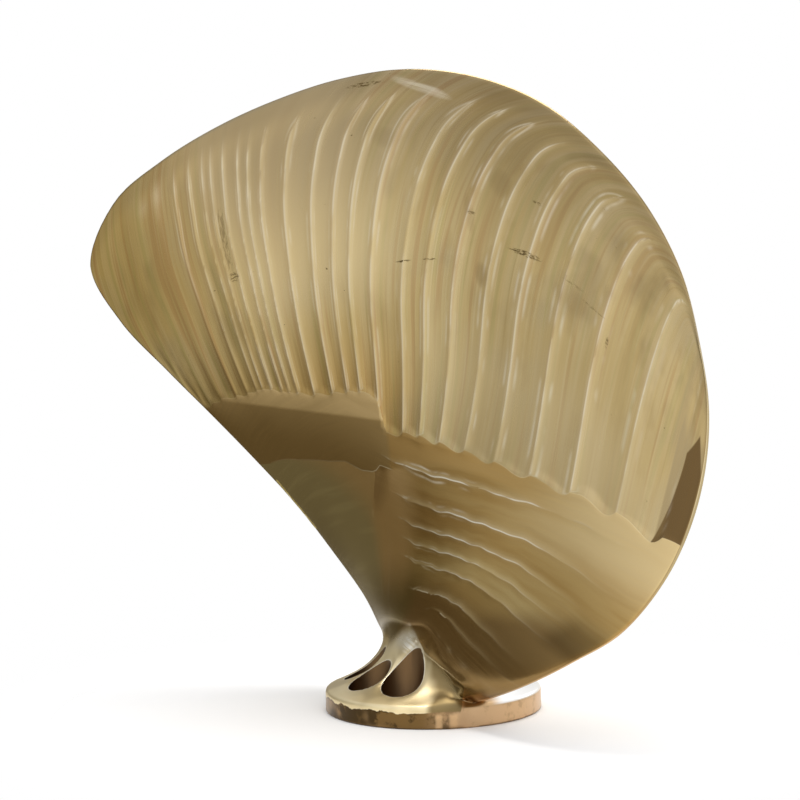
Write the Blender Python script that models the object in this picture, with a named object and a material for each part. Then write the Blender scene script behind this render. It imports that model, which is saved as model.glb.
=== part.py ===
"""One blade of a controllable-pitch ship propeller, standing on its bolted foot.

The real thing is a single bronze casting, so it is a single closed solid: a round foot with
six counterbored bolt holes, a broad fillet, and a wide, twisted, skewed blade.

Frame, in metres: the origin is the middle of the foot's underside, +Z is the spindle axis that
the blade turns about when its pitch is changed, and the shaft of the ship runs along Y below it.
The leading edge is on the +X side and comes forward, towards -Y.
"""

import math

import bmesh
import bpy
import numpy as np

# The foot, a thick round palm whose top follows the round hub.
FOOT_RADIUS = 0.2625
RIM_HEIGHT = 0.044
RIM_CHAMFER = 0.003
SHOULDER_RADIUS = 0.012
HUB_DEPTH = 0.42  # from the foot's underside down to the shaft's centre line
CROWN_SLOPE = math.radians(22)  # how steeply the foot's top rises inwards from its rim

# The six bolts: three on either side of the blade's root.
BOLT_CIRCLE_RADIUS = 0.170
BOLT_SIDE_ANGLES = (math.radians(-153.5), math.radians(26.5))
BOLT_SPACING = math.radians(38.5)
POCKET_RADIUS = 0.052
POCKET_TOP = 0.25
BOLT_HOLE_RADIUS = 0.030
SEAT_HEIGHT = 0.045
POCKET_SIDES = 28
CUT_MARGIN = 0.02

# The blade's outline seen along the shaft, as (x, z) at nearly equal steps of the way round:
# up the trailing edge, over the tip edge, and down the leading edge.
TRAILING_EDGE = (
    (-0.120, 0.155), (-0.167, 0.238), (-0.240, 0.335), (-0.335, 0.455), (-0.445, 0.573),
    (-0.560, 0.690), (-0.680, 0.810), (-0.802, 0.940),
)
TIP_EDGE = (
    (-0.876, 1.090), (-0.801, 1.251), (-0.668, 1.352), (-0.519, 1.431), (-0.363, 1.491),
    (-0.200, 1.534), (-0.033, 1.549), (0.133, 1.521), (0.285, 1.450), (0.409, 1.337),
    (0.510, 1.204), (0.580, 1.050), (0.612, 0.885),
)
LEADING_EDGE = (
    (0.624, 0.755), (0.610, 0.622), (0.571, 0.495), (0.508, 0.378), (0.417, 0.271),
    (0.308, 0.195), (0.199, 0.123), (0.096, 0.058),
)
OUTLINE = TRAILING_EDGE + TIP_EDGE + LEADING_EDGE
ROOT_LINE = (
    OUTLINE[0], (-0.078, 0.198), (-0.034, 0.216), (0.012, 0.212), (0.062, 0.198), OUTLINE[-1])

# The helicoid: how far the blade comes forward for each radian round the shaft.
TIP_RADIUS = 2.0
ROOT_RADIUS = 0.57
TIP_LEAD = 0.89
ROOT_LEAD_GAIN = 0.25
LEAD_FADE = 4  # the power by which that gain dies away from root to tip

# Sections: thickness and camber.
ROOT_THICKNESS = 0.158
THICKNESS_FADE = 1.25
TRAILING_FULLNESS = 0.75  # the power by which a section thickens from its trailing edge
ROOT_LEADING_FULLNESS = 0.45  # the same from its leading edge, which is blunt at the root
TIP_LEADING_FULLNESS = 0.80
BLUNTNESS_FADE = 6
EDGE_THICKNESS = 0.009
EDGE_ROUND = 0.006
CAMBER = 0.030
CAMBER_LEAN = 0.8  # under 1, the fullest camber lies below the blade's middle

# The fillet between foot and blade, as the pull of a Bezier curve's two handles.
FILLET_FOOT_PULL = 0.54
FILLET_BLADE_PULL = 0.36

# Fineness of the faceted solid.
BLADE_WIDTH = 1.2  # only to space the narrow steps at the edges
BLADE_HEIGHT = 1.0
COLUMNS = 34
ROWS = 30
FILLET_ROWS = 9
SHOULDER_ROWS = 3

BRONZE = (0.52, 0.40, 0.20, 1.0)


def along(points, t):
    """A smooth curve through equally spaced points (Catmull-Rom), read at each t from 0 to 1."""
    p = np.asarray(points, float)
    p = np.vstack((2 * p[0] - p[1], p, 2 * p[-1] - p[-2]))
    spans = len(p) - 3
    place = np.clip(np.asarray(t, float), 0, 1) * spans
    first = np.minimum(place.astype(int), spans - 1)
    f = (place - first)[..., None]
    a, b, c, d = (p[first + k] for k in range(4))
    return 0.5 * (2 * b + (c - a) * f + (2 * a - 5 * b + 4 * c - d) * f**2
                  + (3 * b - a - 3 * c + d) * f**3)


def steps_with_round_ends(count, width):
    """Steps from 0 to 1, even in the middle and with three narrow ones at both ends."""
    near = np.array((0.0, 0.15, 0.5, 1.0)) * EDGE_ROUND / width
    return np.concatenate((near, np.linspace(0, 1, count + 1)[1:-1], 1 - near[::-1]))


def steps_with_round_top(count, height):
    """Steps from 0 to 1, even at first and with three narrow ones at the top."""
    near = np.array((1.0, 0.5, 0.15, 0.0)) * EDGE_ROUND / height
    return np.concatenate((np.linspace(0, 1, count + 1)[:-1], 1 - near))


def outline_patch(u, v):
    """Fills the blade's outline (a Coons patch): u runs from the trailing to the leading edge,
    v from the root to the tip edge. Gives x and z."""
    spans = len(OUTLINE) - 1
    up_left, over = len(TRAILING_EDGE) / spans, (len(TIP_EDGE) - 1) / spans
    root, tip = along(ROOT_LINE, u), along(OUTLINE, up_left + over * u)
    trailing = along(OUTLINE, up_left * v)
    leading = along(OUTLINE, 1 - (1 - up_left - over) * v)
    u, v = u[..., None], v[..., None]
    corners = ((1 - u) * (1 - v) * np.array(ROOT_LINE[0]) + u * (1 - v) * np.array(ROOT_LINE[-1])
               + (1 - u) * v * np.array(TIP_EDGE[0]) + u * v * np.array(TIP_EDGE[-1]))
    return (1 - v) * root + v * tip + (1 - u) * trailing + u * leading - corners


def mean_surface(u, v):
    """The blade's mean surface: the filled outline laid on a helicoid about the shaft."""
    flat = outline_patch(u, v)
    x, z = flat[..., 0], flat[..., 1]
    radius = np.hypot(x, z + HUB_DEPTH)
    angle = np.arctan2(x, z + HUB_DEPTH)
    inwards = (TIP_RADIUS - radius) / (TIP_RADIUS - ROOT_RADIUS)
    lead = TIP_LEAD + ROOT_LEAD_GAIN * inwards**LEAD_FADE
    return np.stack((x, -lead * angle, z), -1)


def forward_normals(u, v):
    """Unit normals of the mean surface on its forward side, from small steps across it."""
    step = 1e-4
    across = mean_surface(u + step, v) - mean_surface(u - step, v)
    upwards = mean_surface(u, v + step) - mean_surface(u, v - step)
    normal = np.cross(across, upwards)
    return normal / np.linalg.norm(normal, axis=-1, keepdims=True)


def half_thickness(u, v, points):
    """Half the blade's thickness: a full section that thins towards the tip, and round edges."""
    blunt = (1 - v) ** BLUNTNESS_FADE
    leading = ROOT_LEADING_FULLNESS * blunt + TIP_LEADING_FULLNESS * (1 - blunt)
    thickest = TRAILING_FULLNESS / (TRAILING_FULLNESS + leading)
    shape = (u / thickest) ** TRAILING_FULLNESS * ((1 - u) / (1 - thickest)) ** leading
    section = shape * ROOT_THICKNESS * (1 - v) ** THICKNESS_FADE
    width = np.linalg.norm(points[-1] - points[0], axis=-1)[None, :]
    to_edge = np.minimum(np.minimum(u, 1 - u) * width, (1 - v) * BLADE_HEIGHT)
    rounded = np.sqrt(1 - (1 - np.clip(to_edge / EDGE_ROUND, 0, 1)) ** 2)
    return 0.5 * rounded * (EDGE_THICKNESS + section)


def blade_sheets():
    """The blade's forward and after faces as grids of points that meet all along its edges."""
    u, v = np.meshgrid(steps_with_round_ends(COLUMNS, BLADE_WIDTH),
                       steps_with_round_top(ROWS, BLADE_HEIGHT), indexing="ij")
    points = mean_surface(u, v)
    inside = 1e-3  # keeps the small steps of the normals on the patch
    normals = forward_normals(np.clip(u, inside, 1 - inside), np.clip(v, inside, 1 - inside))
    half = half_thickness(u, v, points)[..., None]
    bulge = (CAMBER * 4 * u * (1 - u) * np.sin(math.pi * v**CAMBER_LEAN))[..., None]
    middle = points + normals * bulge
    return middle + normals * half, middle - normals * half


def ring_of(forward, after, row):
    """One closed ring of points round the blade: over its forward face and back over the other."""
    return np.vstack((forward[:, row], after[-2:0:-1, row]))


def rim_angles(ring, columns):
    """Angles round the foot for a ring's points: even along each face, between the two edges."""
    trailing = math.atan2(ring[0][1], ring[0][0])
    leading = math.atan2(ring[columns][1], ring[columns][0]) + 2 * math.pi
    share = np.linspace(0, 1, columns + 1)
    forward = trailing + (leading - trailing) * share
    after = leading + (trailing + 2 * math.pi - leading) * share
    return np.concatenate((forward, after[1:-1]))


def foot_and_fillet_rings(ring, ring_above):
    """Rings from the foot's underside up its rim and through the fillet to the blade's root."""
    columns = len(ring) // 2
    angles = rim_angles(ring, columns)
    out = np.stack((np.cos(angles), np.sin(angles), np.zeros_like(angles)), -1)
    up = np.array((0.0, 0.0, 1.0))
    rings = [out * (FOOT_RADIUS - RIM_CHAMFER), out * FOOT_RADIUS + up * RIM_CHAMFER]
    for turn in np.linspace(0, math.pi / 2 - CROWN_SLOPE, SHOULDER_ROWS):
        inwards = SHOULDER_RADIUS * (1 - math.cos(turn))
        rings.append(out * (FOOT_RADIUS - inwards)
                     + up * (RIM_HEIGHT + SHOULDER_RADIUS * math.sin(turn)))
    start = rings[-1]
    gap = np.linalg.norm((ring - start), axis=1, keepdims=True)
    crown = -out * math.cos(CROWN_SLOPE) + up * math.sin(CROWN_SLOPE)
    rise = ring_above - ring
    rise /= np.linalg.norm(rise, axis=1, keepdims=True)
    foot_handle = start + crown * gap * FILLET_FOOT_PULL
    blade_handle = ring - rise * gap * FILLET_BLADE_PULL
    for t in np.linspace(0, 1, FILLET_ROWS + 1)[1:-1]:
        rings.append((1 - t) ** 3 * start + 3 * (1 - t) ** 2 * t * foot_handle
                     + 3 * (1 - t) * t**2 * blade_handle + t**3 * ring)
    return rings


def bridge(lower, upper):
    """Quads between two rings of equal length."""
    count = len(lower)
    return [(lower[k], lower[(k + 1) % count], upper[(k + 1) % count], upper[k])
            for k in range(count)]


def casting_mesh():
    """The whole casting as one closed mesh, before its bolt holes are cut."""
    forward, after = blade_sheets()
    rows = forward.shape[1]
    root = ring_of(forward, after, 0)
    rings = foot_and_fillet_rings(root, ring_of(forward, after, 1))
    rings += [ring_of(forward, after, row) for row in range(rows)]
    size = len(root)
    points = np.vstack(rings)
    numbers = np.arange(len(points)).reshape(len(rings), size)
    faces = [tuple(numbers[0][::-1])]
    for lower, upper in zip(numbers[:-1], numbers[1:]):
        faces += bridge(lower, upper)
    mesh = bpy.data.meshes.new("blade_casting")
    mesh.from_pydata(points.tolist(), [], [tuple(int(n) for n in face) for face in faces])
    work = bmesh.new()
    work.from_mesh(mesh)
    bmesh.ops.remove_doubles(work, verts=work.verts, dist=1e-5)
    bmesh.ops.recalc_face_normals(work, faces=work.faces)
    work.to_mesh(mesh)
    work.free()
    return mesh


def pocket_cutter(name, angle):
    """A counterbore and its bolt hole as one turned solid, standing on the bolt circle."""
    profile = (
        (0, -CUT_MARGIN), (BOLT_HOLE_RADIUS, -CUT_MARGIN), (BOLT_HOLE_RADIUS, SEAT_HEIGHT),
        (POCKET_RADIUS, SEAT_HEIGHT), (POCKET_RADIUS, POCKET_TOP), (0, POCKET_TOP),
    )
    work = bmesh.new()
    chain = [work.verts.new((r, 0, z)) for r, z in profile]
    edges = [work.edges.new(pair) for pair in zip(chain[:-1], chain[1:])]
    bmesh.ops.spin(work, geom=chain + edges, cent=(0, 0, 0), axis=(0, 0, 1),
                   angle=2 * math.pi, steps=POCKET_SIDES, use_merge=True)
    bmesh.ops.remove_doubles(work, verts=work.verts, dist=1e-5)
    bmesh.ops.recalc_face_normals(work, faces=work.faces)
    mesh = bpy.data.meshes.new(name)
    work.to_mesh(mesh)
    work.free()
    cutter = bpy.data.objects.new(name, mesh)
    cutter.location = (BOLT_CIRCLE_RADIUS * math.cos(angle), BOLT_CIRCLE_RADIUS * math.sin(angle), 0)
    cutter.hide_render = True
    cutter.display_type = "WIRE"
    bpy.context.scene.collection.objects.link(cutter)
    return cutter


def bronze():
    """Polished nickel aluminium bronze."""
    material = bpy.data.materials.new("bronze")
    material.use_nodes = True
    shader = material.node_tree.nodes["Principled BSDF"]
    shader.inputs["Base Color"].default_value = BRONZE
    shader.inputs["Metallic"].default_value = 1.0
    shader.inputs["Roughness"].default_value = 0.3
    return material


def build():
    for obj in list(bpy.data.objects):
        bpy.data.objects.remove(obj, do_unlink=True)
    mesh = casting_mesh()
    mesh.materials.append(bronze())
    mesh.shade_smooth()
    mesh.set_sharp_from_angle(angle=math.radians(35))
    casting = bpy.data.objects.new("blade_casting", mesh)
    bpy.context.scene.collection.objects.link(casting)
    number = 0
    for middle in BOLT_SIDE_ANGLES:
        for side in (-1, 0, 1):
            number += 1
            cutter = pocket_cutter(f"bolt_cutter_{number}", middle + side * BOLT_SPACING)
            cut = casting.modifiers.new(f"bolt_hole_{number}", "BOOLEAN")
            cut.operation = "DIFFERENCE"
            cut.solver = "EXACT"
            cut.object = cutter


build()
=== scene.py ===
import math
from functools import reduce

import bmesh
import bpy
import numpy as np
from mathutils import Matrix, Vector


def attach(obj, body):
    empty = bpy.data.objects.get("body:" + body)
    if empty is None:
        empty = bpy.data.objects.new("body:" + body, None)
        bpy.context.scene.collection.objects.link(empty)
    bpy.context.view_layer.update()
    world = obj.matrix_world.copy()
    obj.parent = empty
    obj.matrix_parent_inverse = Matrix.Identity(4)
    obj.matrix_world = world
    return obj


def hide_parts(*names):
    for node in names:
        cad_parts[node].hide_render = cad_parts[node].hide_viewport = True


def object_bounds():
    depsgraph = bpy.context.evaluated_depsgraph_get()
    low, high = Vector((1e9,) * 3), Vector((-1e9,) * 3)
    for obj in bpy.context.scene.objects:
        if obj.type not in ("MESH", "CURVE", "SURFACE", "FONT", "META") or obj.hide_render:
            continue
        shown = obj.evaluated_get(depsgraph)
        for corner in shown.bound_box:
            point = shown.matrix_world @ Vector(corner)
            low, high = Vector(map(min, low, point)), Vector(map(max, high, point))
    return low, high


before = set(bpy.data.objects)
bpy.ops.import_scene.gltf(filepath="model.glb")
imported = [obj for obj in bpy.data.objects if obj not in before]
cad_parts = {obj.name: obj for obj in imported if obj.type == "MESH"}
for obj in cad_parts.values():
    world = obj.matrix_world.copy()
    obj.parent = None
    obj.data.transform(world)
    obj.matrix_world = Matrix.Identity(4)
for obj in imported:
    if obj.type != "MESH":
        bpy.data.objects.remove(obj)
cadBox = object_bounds()
print("frame loaded")

# The casting's form in metres, the same as in the CAD part.
castingForm = {
    "trailingEdge": ((-0.120, 0.155), (-0.167, 0.238), (-0.240, 0.335), (-0.335, 0.455),
                     (-0.445, 0.573), (-0.560, 0.690), (-0.680, 0.810), (-0.802, 0.940)),
    "tipEdge": ((-0.876, 1.090), (-0.801, 1.251), (-0.668, 1.352), (-0.519, 1.431),
                (-0.363, 1.491), (-0.200, 1.534), (-0.033, 1.549), (0.133, 1.521),
                (0.285, 1.450), (0.409, 1.337), (0.510, 1.204), (0.580, 1.050), (0.612, 0.885)),
    "leadingEdge": ((0.624, 0.755), (0.610, 0.622), (0.571, 0.495), (0.508, 0.378),
                    (0.417, 0.271), (0.308, 0.195), (0.199, 0.123), (0.096, 0.058)),
    "rootLine": ((-0.120, 0.155), (-0.078, 0.198), (-0.034, 0.216), (0.012, 0.212),
                 (0.062, 0.198), (0.096, 0.058)),
    "hubDepth": 0.42, "tipRadius": 2.0, "rootRadius": 0.57,
    "tipLead": 0.89, "rootLeadGain": 0.25, "leadFade": 4,
    "rootThickness": 0.158, "thicknessFade": 1.25, "trailingFullness": 0.75,
    "rootLeadingFullness": 0.45, "tipLeadingFullness": 0.80, "bluntnessFade": 6,
    "edgeThickness": 0.009, "edgeRound": 0.006, "camber": 0.030, "camberLean": 0.8,
    "footRadius": 0.2625, "rimHeight": 0.044, "rimChamfer": 0.003, "shoulderRadius": 0.012,
    "crownSlope": math.radians(22), "filletFootPull": 0.54, "filletBladePull": 0.36,
    "risePlace": 1 / 30,       # how far up the blade its direction at the root is taken
    "spreadColumns": 34, "spreadSteps": (0.0, 0.15, 0.5, 1.0),      # the root fans out to the foot
    "bladeWidth": 1.2,
}


def smooth(low, high, x):
    # 3t^2 - 2t^3, where t runs from 0 at low to 1 at high
    t = np.clip((x - low) / (high - low), 0, 1)
    return t * t * (3 - 2 * t)


def curveThrough(points, t):
    # Catmull-Rom cubic through equally spaced points, read at each t from 0 to 1
    p = np.asarray(points, float)
    p = np.vstack((2 * p[0] - p[1], p, 2 * p[-1] - p[-2]))
    spans = len(p) - 3
    place = np.clip(np.asarray(t, float), 0, 1) * spans
    first = np.minimum(place.astype(int), spans - 1)
    f = (place - first)[..., None]
    a, b, c, d = (p[first + k] for k in range(4))
    return 0.5 * (2 * b + (c - a) * f + (2 * a - 5 * b + 4 * c - d) * f**2
                  + (3 * b - a - 3 * c + d) * f**3)


def outlinePatch(u, v, form=castingForm):
    # Coons patch: the blend of two side curves plus the blend of root and tip curves, less the
    # blend of the four corners. u runs from trailing to leading edge, v from root to tip.
    outline = form["trailingEdge"] + form["tipEdge"] + form["leadingEdge"]
    spans = len(outline) - 1
    upLeft, over = len(form["trailingEdge"]) / spans, (len(form["tipEdge"]) - 1) / spans
    root, tip = curveThrough(form["rootLine"], u), curveThrough(outline, upLeft + over * u)
    trailing = curveThrough(outline, upLeft * v)
    leading = curveThrough(outline, 1 - (1 - upLeft - over) * v)
    u, v = u[..., None], v[..., None]
    rootEnds = np.array(form["rootLine"][0]), np.array(form["rootLine"][-1])
    tipEnds = np.array(form["tipEdge"][0]), np.array(form["tipEdge"][-1])
    corners = ((1 - v) * ((1 - u) * rootEnds[0] + u * rootEnds[1])
               + v * ((1 - u) * tipEnds[0] + u * tipEnds[1]))
    return (1 - v) * root + v * tip + (1 - u) * trailing + u * leading - corners


def meanSurface(u, v, form=castingForm):
    # helicoid: y = -lead times the angle round the shaft, where the lead grows towards the root
    flat = outlinePatch(u, v)
    x, z = flat[..., 0], flat[..., 1]
    radius = np.hypot(x, z + form["hubDepth"])
    inwards = (form["tipRadius"] - radius) / (form["tipRadius"] - form["rootRadius"])
    lead = form["tipLead"] + form["rootLeadGain"] * inwards ** form["leadFade"]
    return np.stack((x, -lead * np.arctan2(x, z + form["hubDepth"]), z), -1)


def bladeFaces(u, v, form=castingForm):
    # mean surface + camber (a parabola along u times a sine along v) + or - half the thickness,
    # which is a product of two powers of the way in from each edge, with a round at every edge
    points = meanSurface(u, v)
    step, inside = 1e-4, 1e-3       # normals are read over a small step, just inside the edges
    un, vn = np.clip(u, inside, 1 - inside), np.clip(v, inside, 1 - inside)
    across = meanSurface(un + step, vn) - meanSurface(un - step, vn)
    upwards = meanSurface(un, vn + step) - meanSurface(un, vn - step)
    normals = np.cross(across, upwards)
    normals /= np.linalg.norm(normals, axis=-1, keepdims=True)
    blunt = (1 - v) ** form["bluntnessFade"]
    leading = form["rootLeadingFullness"] * blunt + form["tipLeadingFullness"] * (1 - blunt)
    trailing = form["trailingFullness"]
    thickest = trailing / (trailing + leading)
    shape = (u / thickest) ** trailing * ((1 - u) / (1 - thickest)) ** leading
    section = shape * form["rootThickness"] * (1 - v) ** form["thicknessFade"]
    ends = meanSurface(np.ones_like(v), v) - meanSurface(np.zeros_like(v), v)
    toEdge = np.minimum(np.minimum(u, 1 - u) * np.linalg.norm(ends, axis=-1), 1 - v)
    rounded = np.sqrt(1 - (1 - np.clip(toEdge / form["edgeRound"], 0, 1)) ** 2)
    half = (0.5 * rounded * (form["edgeThickness"] + section))[..., None]
    bulge = form["camber"] * 4 * u * (1 - u) * np.sin(math.pi * v ** form["camberLean"])
    middle = points + normals * bulge[..., None]
    return middle + normals * half, middle - normals * half


# The cutter's flutes. Places are shares of the blade: across from the trailing edge, and up.
upperFlutes = {
    "cusps": (-0.06, -0.03, -0.008, 0.012, 0.040, 0.075, 0.102, 0.124, 0.137, 0.155, 0.176, 0.190,
              0.208, 0.242, 0.281, 0.313, 0.340, 0.376, 0.428, 0.466, 0.511, 0.563, 0.616,
              0.677, 0.752, 0.848, 0.950, 1.060),
    "facetEdge": 0.95,          # a plainer facet lies between this and the leading edge
    "facetDepth": 0.0022,
    "steepness": (0.160, 0.125),    # slope of a flute's wall at its cusps, left and right
    "steepnessChange": (0.42, 0.60),
    "skew": 0.80,               # under 1, the left wall is the steeper one
    "layer": 0.0006,            # how far the fluted surface lies below the rest
    "endSlope": 0.15,           # how steeply the cutter came up at a flute's lower end
    "endDrop": 0.17,            # how far that end bows down, as a share of the flute's width
    "endSkew": 2.6,             # over 1, the bow is lowest right of the flute's middle
    "endRound": 0.0004,
    "lowerEnd": ((0.0, 0.645), (0.03, 0.628), (0.047, 0.617), (0.087, 0.586), (0.127, 0.573),
                 (0.143, 0.566), (0.163, 0.550), (0.18, 0.540), (0.22, 0.520), (0.263, 0.508),
                 (0.313, 0.498), (0.345, 0.486), (0.357, 0.474), (0.363, 0.412), (0.40, 0.406),
                 (0.43, 0.402), (0.467, 0.390), (0.52, 0.380), (0.60, 0.374), (0.673, 0.374),
                 (0.74, 0.388), (0.80, 0.410), (0.817, 0.424), (0.883, 0.466), (0.92, 0.494),
                 (0.95, 0.522), (1.0, 0.588)),
    "upperEnd": (0.930, 0.985),
    "highlightStart": (0.10, 0.17), "highlightStop": (0.93, 0.96),    # the cusps shine between these
    # how a flute wanders: its slant at the trailing edge, and how much less that is at the
    # leading edge; a bend above and a bend below one height, and where across each grows; the
    # hook beside the tip edge
    "slant": (0.33, 0.5), "bendFrom": 0.6,
    "bendUp": 0.78, "bendUpGrows": (0.08, 0.50), "bendDown": 1.0, "bendDownGrows": (0.52, 0.78),
    "hookFrom": 0.90, "hookBend": 3.5, "hookGrows": (0.25, 0.45),
    "spanMetres": 1.33,
    "chordMetres": 1.25,
}
lowerFlutes = {
    "cusps": (-0.02, 0.010, 0.048, 0.084, 0.140, 0.176, 0.211, 0.255, 0.318, 0.372),
    "starts": (0.86, 0.84, 0.70, 0.54, 0.45, 0.44, 0.42, 0.41, 0.38, 0.46),
    "stops": (0.97, 0.97, 0.97, 0.92, 0.92, 0.90, 0.90, 0.90, 0.78, 0.80),
    "steepness": 0.150, "sharpness": 4.0, "highlightWidth": 0.0021,
    # how softly a flute starts and stops, where its painted highlights end, and how it rises at
    # each side
    "startEase": 0.06, "stopEase": (0.12, 0.08), "rootEase": 0.02, "highlightTop": (0.340, 0.360),
    "leftBend": 1.25, "leftBendFrom": 0.55, "leftBendLast": 0.28,
    "rightBend": 1.5, "rightBendFrom": 0.80, "rightBendLean": 0.55, "rightBendTop": 0.32,
    # height of each waver, its turns across and up, and where it starts
    "wavers": ((0.0012, 61, 40, 0), (0.0008, 113, 75, 1)), "waverFrom": 0.08,
}
afterFlutes = {"count": 25, "seed": 5, "widths": (0.6, 1.4), "lowest": 0.36, "lowestEase": 0.05,
               "sway": 0.05, "swayTurns": 5, "steepness": 0.14}


def upperShift(c, v, flutes=upperFlutes):
    # how far a flute at share c has wandered at height v: a slant plus a parabola at each end
    slant, change = flutes["slant"]
    above = v - flutes["bendFrom"]
    bendUp = flutes["bendUp"] * smooth(*flutes["bendUpGrows"], c)
    bendDown = flutes["bendDown"] * smooth(*flutes["bendDownGrows"], c)
    return ((slant - change * c) * above + bendUp * np.maximum(above, 0) ** 2
            + bendDown * np.maximum(-above, 0) ** 2)


def lowerShift(u, w, flutes=lowerFlutes):
    # how far a lower flute has risen at share u: two parabolas and the sum of two sine wavers
    onLeft = np.maximum(flutes["leftBendFrom"] - np.maximum(u, flutes["leftBendLast"]), 0)
    lean = flutes["rightBendLean"] * np.minimum(w, flutes["rightBendTop"])
    onRight = np.maximum(u - (flutes["rightBendFrom"] - lean), 0)
    waver = sum(height * np.sin(across * u + up * w + start)
                for height, across, up, start in flutes["wavers"])
    return (flutes["leftBend"] * onLeft**2 + flutes["rightBend"] * onRight**2
            + waver * smooth(0.0, flutes["waverFrom"], w))


def upperHook(u, v, flutes=upperFlutes):
    # how far a flute bends over beside the tip edge: a parabola from some height up
    over = np.maximum(v - flutes["hookFrom"], 0)
    return flutes["hookBend"] * over**2 * smooth(*flutes["hookGrows"], u)


# Where the grid's lines leave their straight places, so that they run along the flutes.
gridFades = {
    "shiftAcross": ((0.0, 0.07), (0.86, 1.0)), "shiftUp": (0.20, 0.42), "hookAcross": (0.60, 0.84),
    "liftUp": ((0.0, 0.05), (0.34, 1.0)), "rounds": 5,
}


def bladeGrid(s, r, fades=gridFades):
    # u = s + the flutes' wandering and v = r + the lower flutes' rise, both fading at the
    # edges; a few rounds settle the pair
    (start, stop), (low, high) = fades["shiftAcross"], fades["liftUp"]
    fade = smooth(*start, s) * (1 - smooth(*stop, s))
    hookFade = 1 - smooth(*fades["hookAcross"], s)
    lift = smooth(*low, r) * (1 - smooth(*high, r))
    u, v = s, r
    for _ in range(fades["rounds"]):
        along = upperShift(s, v) * fade * smooth(*fades["shiftUp"], v)
        u = s + along + upperHook(u, v) * hookFade
        v = r + lowerShift(u, r) * lift
    return u, v


def fluteOf(place, cusps):
    # which flute a place is in, how far across it (0 to 1), and the flute's width
    cusps = np.asarray(cusps)
    number = np.clip(np.searchsorted(cusps, place, side="right") - 1, 0, len(cusps) - 2)
    width = np.diff(cusps)[number]
    return number, np.clip((place - cusps[number]) / width, 0, 1), width


def fluteMarks(u, v):
    # the two flute coordinates of each place: c across the upper flutes, w up the lower ones
    c, w = u.copy(), v.copy()
    for _ in range(8):      # each round brings them closer
        c = u - upperHook(u, v) - upperShift(c, v)
        w = v - lowerShift(u, w)
    return c, w


def upperCut(u, v, c, flutes=upperFlutes):
    # depth = layer + height * (1 - (2t-1)^2), or the run-out's slope times the way up from the
    # flute's bowed lower end, whichever is less, eased so that it never goes under zero. The
    # height is a quarter of the wall's slope times the flute's width.
    t, width = fluteOf(c, flutes["cusps"])[1:]
    left, right = flutes["steepness"]
    steepness = left + (right - left) * smooth(*flutes["steepnessChange"], c)
    height = steepness * width * flutes["chordMetres"] / 4
    shape = height * (1 - (2 * t ** flutes["skew"] - 1) ** 2)
    last = np.array(flutes["cusps"])[-3], flutes["facetEdge"]
    t = np.clip((c - last[0]) / (last[1] - last[0]), 0, 1)
    toEdge = np.clip((1 - u) / (1 - flutes["facetEdge"]), 0, 1)
    facet = flutes["facetDepth"] * np.minimum(1 - (1 - t) ** 2, toEdge)
    shape = np.where(c > last[0], facet, shape)
    ends = flutes["cusps"][:-2] + (flutes["facetEdge"], flutes["cusps"][-1])
    _, across, endWidth = fluteOf(c, ends)
    bow = 1 - (2 * across ** flutes["endSkew"] - 1) ** 2
    drop = flutes["endDrop"] * np.minimum(endWidth, 0.1) * flutes["chordMetres"] * bow
    lowerEnd = np.interp(u, *np.transpose(flutes["lowerEnd"])) - drop / flutes["spanMetres"]
    above = (v - lowerEnd) * flutes["spanMetres"]
    raw = np.minimum(flutes["layer"] + shape, flutes["endSlope"] * above)
    depth = 0.5 * (raw + np.sqrt(raw**2 + flutes["endRound"] ** 2))
    fluted = smooth(0, flutes["layer"], raw)
    upperFade = 1 - smooth(*flutes["upperEnd"], v)
    shines = smooth(*flutes["highlightStart"], u) * (1 - smooth(*flutes["highlightStop"], c))
    cuspLight = cuspLightAndShade(c, flutes["cusps"]) * (fluted * upperFade * shines)[None]
    nearEnd = 0.03      # metres above or below its lower end that a place is told apart
    return depth * upperFade, fluted, np.clip(above, -nearEnd, nearEnd), cuspLight


def cuspLightAndShade(place, cusps, width=0.0025, reach=0.40):
    # two fields of painted light: a painted highlight line on each cusp, which fades with the
    # distance, and the flute's painted shading: 1 lit at its left cusp, -1 shaded at its right,
    # each fading as a square
    t, span = fluteOf(place, cusps)[1:]
    off = np.minimum(t, 1 - t) * span
    line = np.clip(1 - off / width, 0, 1)
    tone = np.clip(1 - t / reach, 0, 1) ** 2 - np.clip(1 - (1 - t) / reach, 0, 1) ** 2
    return np.stack((line, tone))


def lowerCut(u, v, w, flutes=lowerFlutes):
    # depth = height * (1 - |2t-1|^4) between the lower cusps, growing where each flute starts
    # and fading where it stops
    number, t, width = fluteOf(w, flutes["cusps"])
    start, stop = np.array(flutes["starts"])[number], np.array(flutes["stops"])[number]
    height = flutes["steepness"] * width * upperFlutes["spanMetres"] / (2 * flutes["sharpness"])
    ease, (before, past) = flutes["startEase"], flutes["stopEase"]
    along = smooth(start - ease, start + ease, u) * (1 - smooth(stop - before, stop + past, u))
    shape = 1 - np.abs(2 * t - 1) ** flutes["sharpness"]
    along = along * (w < flutes["cusps"][-1])
    lightReach = along * (1 - smooth(*flutes["highlightTop"], w))
    return (height * shape * along * smooth(0.0, flutes["rootEase"], v),
            cuspLightAndShade(w, flutes["cusps"], flutes["highlightWidth"]) * lightReach[None])


print("forms ready")


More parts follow.
